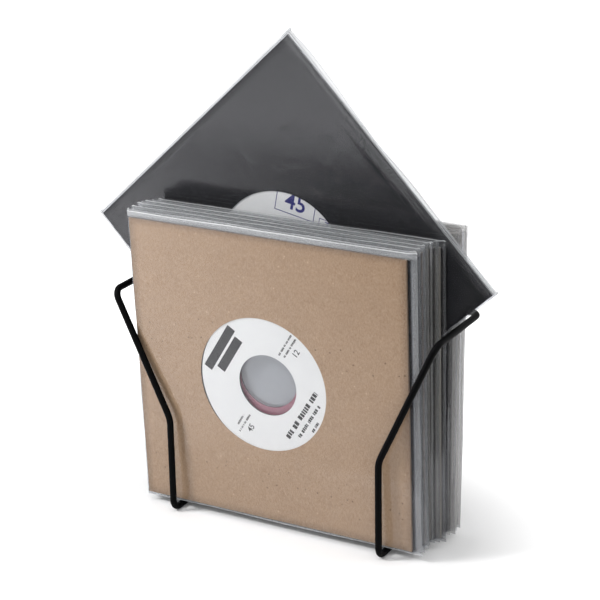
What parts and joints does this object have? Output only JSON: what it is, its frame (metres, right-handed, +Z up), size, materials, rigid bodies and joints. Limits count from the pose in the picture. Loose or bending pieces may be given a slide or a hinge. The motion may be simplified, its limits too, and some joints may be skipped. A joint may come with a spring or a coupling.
{
  "type": "wire record stand with seven-inch singles",
  "caption": "Bent-wire stand holding a row of seven-inch singles in clear outer sleeves, with one single set cornerwise on its two arms.",
  "frame": {"origin": "on the table, under the middle of the wire stand", "axes": "+X to the right along the width of the sleeves, +Y to the back of the row, +Z up"},
  "size_m": [0.2649, 0.063, 0.3017],
  "materials": {
    "stand_wire": "black powder coat, satin",
    "clear_film": "clear soft film, glossy",
    "kraft_card": "uncoated kraft board",
    "dark_card": "black board, smooth",
    "white_card": "pale uncoated board",
    "vinyl": "pressed and grooved",
    "label_paper": "printed label paper",
    "pink_label_paper": "dusty pink label paper"
  },
  "bodies": {
    "stand": {"wire_stand": "stand_wire"},
    "single_01_film": {"single_01_outer_sleeve": "clear_film"},
    "single_01_card": {"single_01_card_sleeve": "kraft_card"},
    "single_01_record": {"single_01_disc": "vinyl", "single_01_labels": "label_paper"},
    "single_02_film": {"single_02_outer_sleeve": "clear_film"},
    "single_02_card": {"single_02_card_sleeve": "white_card"},
    "single_02_record": {"single_02_disc": "vinyl", "single_02_labels": "pink_label_paper"},
    "single_03_film": {"single_03_outer_sleeve": "clear_film"},
    "single_03_card": {"single_03_card_sleeve": "white_card"},
    "single_03_record": {"single_03_disc": "vinyl"},
    "single_04_film": {"single_04_outer_sleeve": "clear_film"},
    "single_04_card": {"single_04_card_sleeve": "white_card"},
    "single_04_record": {"single_04_disc": "vinyl"},
    "single_05_film": {"single_05_outer_sleeve": "clear_film"},
    "single_05_card": {"single_05_card_sleeve": "white_card"},
    "single_05_record": {"single_05_disc": "vinyl"},
    "single_06_film": {"single_06_outer_sleeve": "clear_film"},
    "single_06_card": {"single_06_card_sleeve": "white_card"},
    "single_06_record": {"single_06_disc": "vinyl"},
    "single_07_film": {"single_07_outer_sleeve": "clear_film"},
    "single_07_card": {"single_07_card_sleeve": "white_card"},
    "single_07_record": {"single_07_disc": "vinyl"},
    "single_08_film": {"single_08_outer_sleeve": "clear_film"},
    "single_08_card": {"single_08_card_sleeve": "white_card"},
    "single_08_record": {"single_08_disc": "vinyl"},
    "single_09_film": {"single_09_outer_sleeve": "clear_film"},
    "single_09_card": {"single_09_card_sleeve": "white_card"},
    "single_09_record": {"single_09_disc": "vinyl"},
    "single_10_film": {"single_10_outer_sleeve": "clear_film"},
    "single_10_card": {"single_10_card_sleeve": "white_card"},
    "single_10_record": {"single_10_disc": "vinyl"},
    "single_11_film": {"single_11_outer_sleeve": "clear_film"},
    "single_11_card": {"single_11_card_sleeve": "dark_card"},
    "single_11_record": {"single_11_disc": "vinyl", "single_11_labels": "label_paper"},
    "single_12_film": {"single_12_outer_sleeve": "clear_film"},
    "single_12_card": {"single_12_card_sleeve": "white_card"},
    "single_12_record": {"single_12_disc": "vinyl"},
    "single_13_film": {"single_13_outer_sleeve": "clear_film"},
    "single_13_card": {"single_13_card_sleeve": "white_card"},
    "single_13_record": {"single_13_disc": "vinyl"},
    "single_14_film": {"single_14_outer_sleeve": "clear_film"},
    "single_14_card": {"single_14_card_sleeve": "white_card"},
    "single_14_record": {"single_14_disc": "vinyl"},
    "single_15_film": {"single_15_outer_sleeve": "clear_film"},
    "single_15_card": {"single_15_card_sleeve": "white_card"},
    "single_15_record": {"single_15_disc": "vinyl"},
    "single_16_film": {"single_16_outer_sleeve": "clear_film"},
    "single_16_card": {"single_16_card_sleeve": "white_card"},
    "single_16_record": {"single_16_disc": "vinyl"},
    "single_17_film": {"single_17_outer_sleeve": "clear_film"},
    "single_17_card": {"single_17_card_sleeve": "white_card"},
    "single_17_record": {"single_17_disc": "vinyl"},
    "single_18_film": {"single_18_outer_sleeve": "clear_film"},
    "single_18_card": {"single_18_card_sleeve": "white_card"},
    "single_18_record": {"single_18_disc": "vinyl"}
  },
  "joints": [
    {"name": "single_01_lift", "type": "slide", "parent": "stand", "child": "single_01_film", "axis": [0, -0.0454, 0.999], "range_m": [0, 0.3]},
    {"name": "single_01_card_slide", "type": "slide", "parent": "single_01_film", "child": "single_01_card", "axis": [0, -0.0454, 0.999], "range_m": [0, 0.188]},
    {"name": "single_01_disc_slide", "type": "slide", "parent": "single_01_card", "child": "single_01_record", "axis": [0, -0.0454, 0.999], "range_m": [0, 0.18]},
    {"name": "single_02_lift", "type": "slide", "parent": "stand", "child": "single_02_film", "axis": [0, -0.043, 0.9991], "range_m": [0, 0.3]},
    {"name": "single_02_card_slide", "type": "slide", "parent": "single_02_film", "child": "single_02_card", "axis": [0, -0.043, 0.9991], "range_m": [0, 0.188]},
    {"name": "single_02_disc_slide", "type": "slide", "parent": "single_02_card", "child": "single_02_record", "axis": [0, -0.043, 0.9991], "range_m": [0, 0.18]},
    {"name": "single_03_lift", "type": "slide", "parent": "stand", "child": "single_03_film", "axis": [0, -0.0407, 0.9992], "range_m": [0, 0.3]},
    {"name": "single_03_card_slide", "type": "slide", "parent": "single_03_film", "child": "single_03_card", "axis": [0, -0.0407, 0.9992], "range_m": [0, 0.188]},
    {"name": "single_03_disc_slide", "type": "slide", "parent": "single_03_card", "child": "single_03_record", "axis": [0, -0.0407, 0.9992], "range_m": [0, 0.18]},
    {"name": "single_04_lift", "type": "slide", "parent": "stand", "child": "single_04_film", "axis": [0, -0.0384, 0.9993], "range_m": [0, 0.3]},
    {"name": "single_04_card_slide", "type": "slide", "parent": "single_04_film", "child": "single_04_card", "axis": [0, -0.0384, 0.9993], "range_m": [0, 0.188]},
    {"name": "single_04_disc_slide", "type": "slide", "parent": "single_04_card", "child": "single_04_record", "axis": [0, -0.0384, 0.9993], "range_m": [0, 0.18]},
    {"name": "single_05_lift", "type": "slide", "parent": "stand", "child": "single_05_film", "axis": [0, -0.0361, 0.9993], "range_m": [0, 0.3]},
    {"name": "single_05_card_slide", "type": "slide", "parent": "single_05_film", "child": "single_05_card", "axis": [0, -0.0361, 0.9993], "range_m": [0, 0.188]},
    {"name": "single_05_disc_slide", "type": "slide", "parent": "single_05_card", "child": "single_05_record", "axis": [0, -0.0361, 0.9993], "range_m": [0, 0.18]},
    {"name": "single_06_lift", "type": "slide", "parent": "stand", "child": "single_06_film", "axis": [0, -0.0337, 0.9994], "range_m": [0, 0.3]},
    {"name": "single_06_card_slide", "type": "slide", "parent": "single_06_film", "child": "single_06_card", "axis": [0, -0.0337, 0.9994], "range_m": [0, 0.188]},
    {"name": "single_06_disc_slide", "type": "slide", "parent": "single_06_card", "child": "single_06_record", "axis": [0, -0.0337, 0.9994], "range_m": [0, 0.18]},
    {"name": "single_07_lift", "type": "slide", "parent": "stand", "child": "single_07_film", "axis": [0, -0.0314, 0.9995], "range_m": [0, 0.3]},
    {"name": "single_07_card_slide", "type": "slide", "parent": "single_07_film", "child": "single_07_card", "axis": [0, -0.0314, 0.9995], "range_m": [0, 0.188]},
    {"name": "single_07_disc_slide", "type": "slide", "parent": "single_07_card", "child": "single_07_record", "axis": [0, -0.0314, 0.9995], "range_m": [0, 0.18]},
    {"name": "single_08_lift", "type": "slide", "parent": "stand", "child": "single_08_film", "axis": [0, -0.0291, 0.9996], "range_m": [0, 0.3]},
    {"name": "single_08_card_slide", "type": "slide", "parent": "single_08_film", "child": "single_08_card", "axis": [0, -0.0291, 0.9996], "range_m": [0, 0.188]},
    {"name": "single_08_disc_slide", "type": "slide", "parent": "single_08_card", "child": "single_08_record", "axis": [0, -0.0291, 0.9996], "range_m": [0, 0.18]},
    {"name": "single_09_lift", "type": "slide", "parent": "stand", "child": "single_09_film", "axis": [0, -0.0268, 0.9996], "range_m": [0, 0.3]},
    {"name": "single_09_card_slide", "type": "slide", "parent": "single_09_film", "child": "single_09_card", "axis": [0, -0.0268, 0.9996], "range_m": [0, 0.188]},
    {"name": "single_09_disc_slide", "type": "slide", "parent": "single_09_card", "child": "single_09_record", "axis": [0, -0.0268, 0.9996], "range_m": [0, 0.18]},
    {"name": "single_10_lift", "type": "slide", "parent": "stand", "child": "single_10_film", "axis": [0, -0.0244, 0.9997], "range_m": [0, 0.3]},
    {"name": "single_10_card_slide", "type": "slide", "parent": "single_10_film", "child": "single_10_card", "axis": [0, -0.0244, 0.9997], "range_m": [0, 0.188]},
    {"name": "single_10_disc_slide", "type": "slide", "parent": "single_10_card", "child": "single_10_record", "axis": [0, -0.0244, 0.9997], "range_m": [0, 0.18]},
    {"name": "single_11_lift", "type": "slide", "parent": "stand", "child": "single_11_film", "axis": [0, -0.0209, 0.9998], "range_m": [0, 0.17]},
    {"name": "single_11_card_slide", "type": "slide", "parent": "single_11_film", "child": "single_11_card", "axis": [0.7361, -0.0142, 0.6767], "range_m": [0, 0.188]},
    {"name": "single_11_disc_slide", "type": "slide", "parent": "single_11_card", "child": "single_11_record", "axis": [0.7361, -0.0142, 0.6767], "range_m": [0, 0.18]},
    {"name": "single_12_lift", "type": "slide", "parent": "stand", "child": "single_12_film", "axis": [0, -0.0157, 0.9999], "range_m": [0, 0.3]},
    {"name": "single_12_card_slide", "type": "slide", "parent": "single_12_film", "child": "single_12_card", "axis": [0, -0.0157, 0.9999], "range_m": [0, 0.188]},
    {"name": "single_12_disc_slide", "type": "slide", "parent": "single_12_card", "child": "single_12_record", "axis": [0, -0.0157, 0.9999], "range_m": [0, 0.18]},
    {"name": "single_13_lift", "type": "slide", "parent": "stand", "child": "single_13_film", "axis": [0, -0.0084, 1], "range_m": [0, 0.3]},
    {"name": "single_13_card_slide", "type": "slide", "parent": "single_13_film", "child": "single_13_card", "axis": [0, -0.0084, 1], "range_m": [0, 0.188]},
    {"name": "single_13_disc_slide", "type": "slide", "parent": "single_13_card", "child": "single_13_record", "axis": [0, -0.0084, 1], "range_m": [0, 0.18]},
    {"name": "single_14_lift", "type": "slide", "parent": "stand", "child": "single_14_film", "axis": [0, -0.0012, 1], "range_m": [0, 0.3]},
    {"name": "single_14_card_slide", "type": "slide", "parent": "single_14_film", "child": "single_14_card", "axis": [0, -0.0012, 1], "range_m": [0, 0.188]},
    {"name": "single_14_disc_slide", "type": "slide", "parent": "single_14_card", "child": "single_14_record", "axis": [0, -0.0012, 1], "range_m": [0, 0.18]},
    {"name": "single_15_lift", "type": "slide", "parent": "stand", "child": "single_15_film", "axis": [0, 0.0061, 1], "range_m": [0, 0.3]},
    {"name": "single_15_card_slide", "type": "slide", "parent": "single_15_film", "child": "single_15_card", "axis": [0, 0.0061, 1], "range_m": [0, 0.188]},
    {"name": "single_15_disc_slide", "type": "slide", "parent": "single_15_card", "child": "single_15_record", "axis": [0, 0.0061, 1], "range_m": [0, 0.18]},
    {"name": "single_16_lift", "type": "slide", "parent": "stand", "child": "single_16_film", "axis": [0, 0.0134, 0.9999], "range_m": [0, 0.3]},
    {"name": "single_16_card_slide", "type": "slide", "parent": "single_16_film", "child": "single_16_card", "axis": [0, 0.0134, 0.9999], "range_m": [0, 0.188]},
    {"name": "single_16_disc_slide", "type": "slide", "parent": "single_16_card", "child": "single_16_record", "axis": [0, 0.0134, 0.9999], "range_m": [0, 0.18]},
    {"name": "single_17_lift", "type": "slide", "parent": "stand", "child": "single_17_film", "axis": [0, 0.0207, 0.9998], "range_m": [0, 0.3]},
    {"name": "single_17_card_slide", "type": "slide", "parent": "single_17_film", "child": "single_17_card", "axis": [0, 0.0207, 0.9998], "range_m": [0, 0.188]},
    {"name": "single_17_disc_slide", "type": "slide", "parent": "single_17_card", "child": "single_17_record", "axis": [0, 0.0207, 0.9998], "range_m": [0, 0.18]},
    {"name": "single_18_lift", "type": "slide", "parent": "stand", "child": "single_18_film", "axis": [0, 0.0279, 0.9996], "range_m": [0, 0.3]},
    {"name": "single_18_card_slide", "type": "slide", "parent": "single_18_film", "child": "single_18_card", "axis": [0, 0.0279, 0.9996], "range_m": [0, 0.188]},
    {"name": "single_18_disc_slide", "type": "slide", "parent": "single_18_card", "child": "single_18_record", "axis": [0, 0.0279, 0.9996], "range_m": [0, 0.18]}
  ]
}
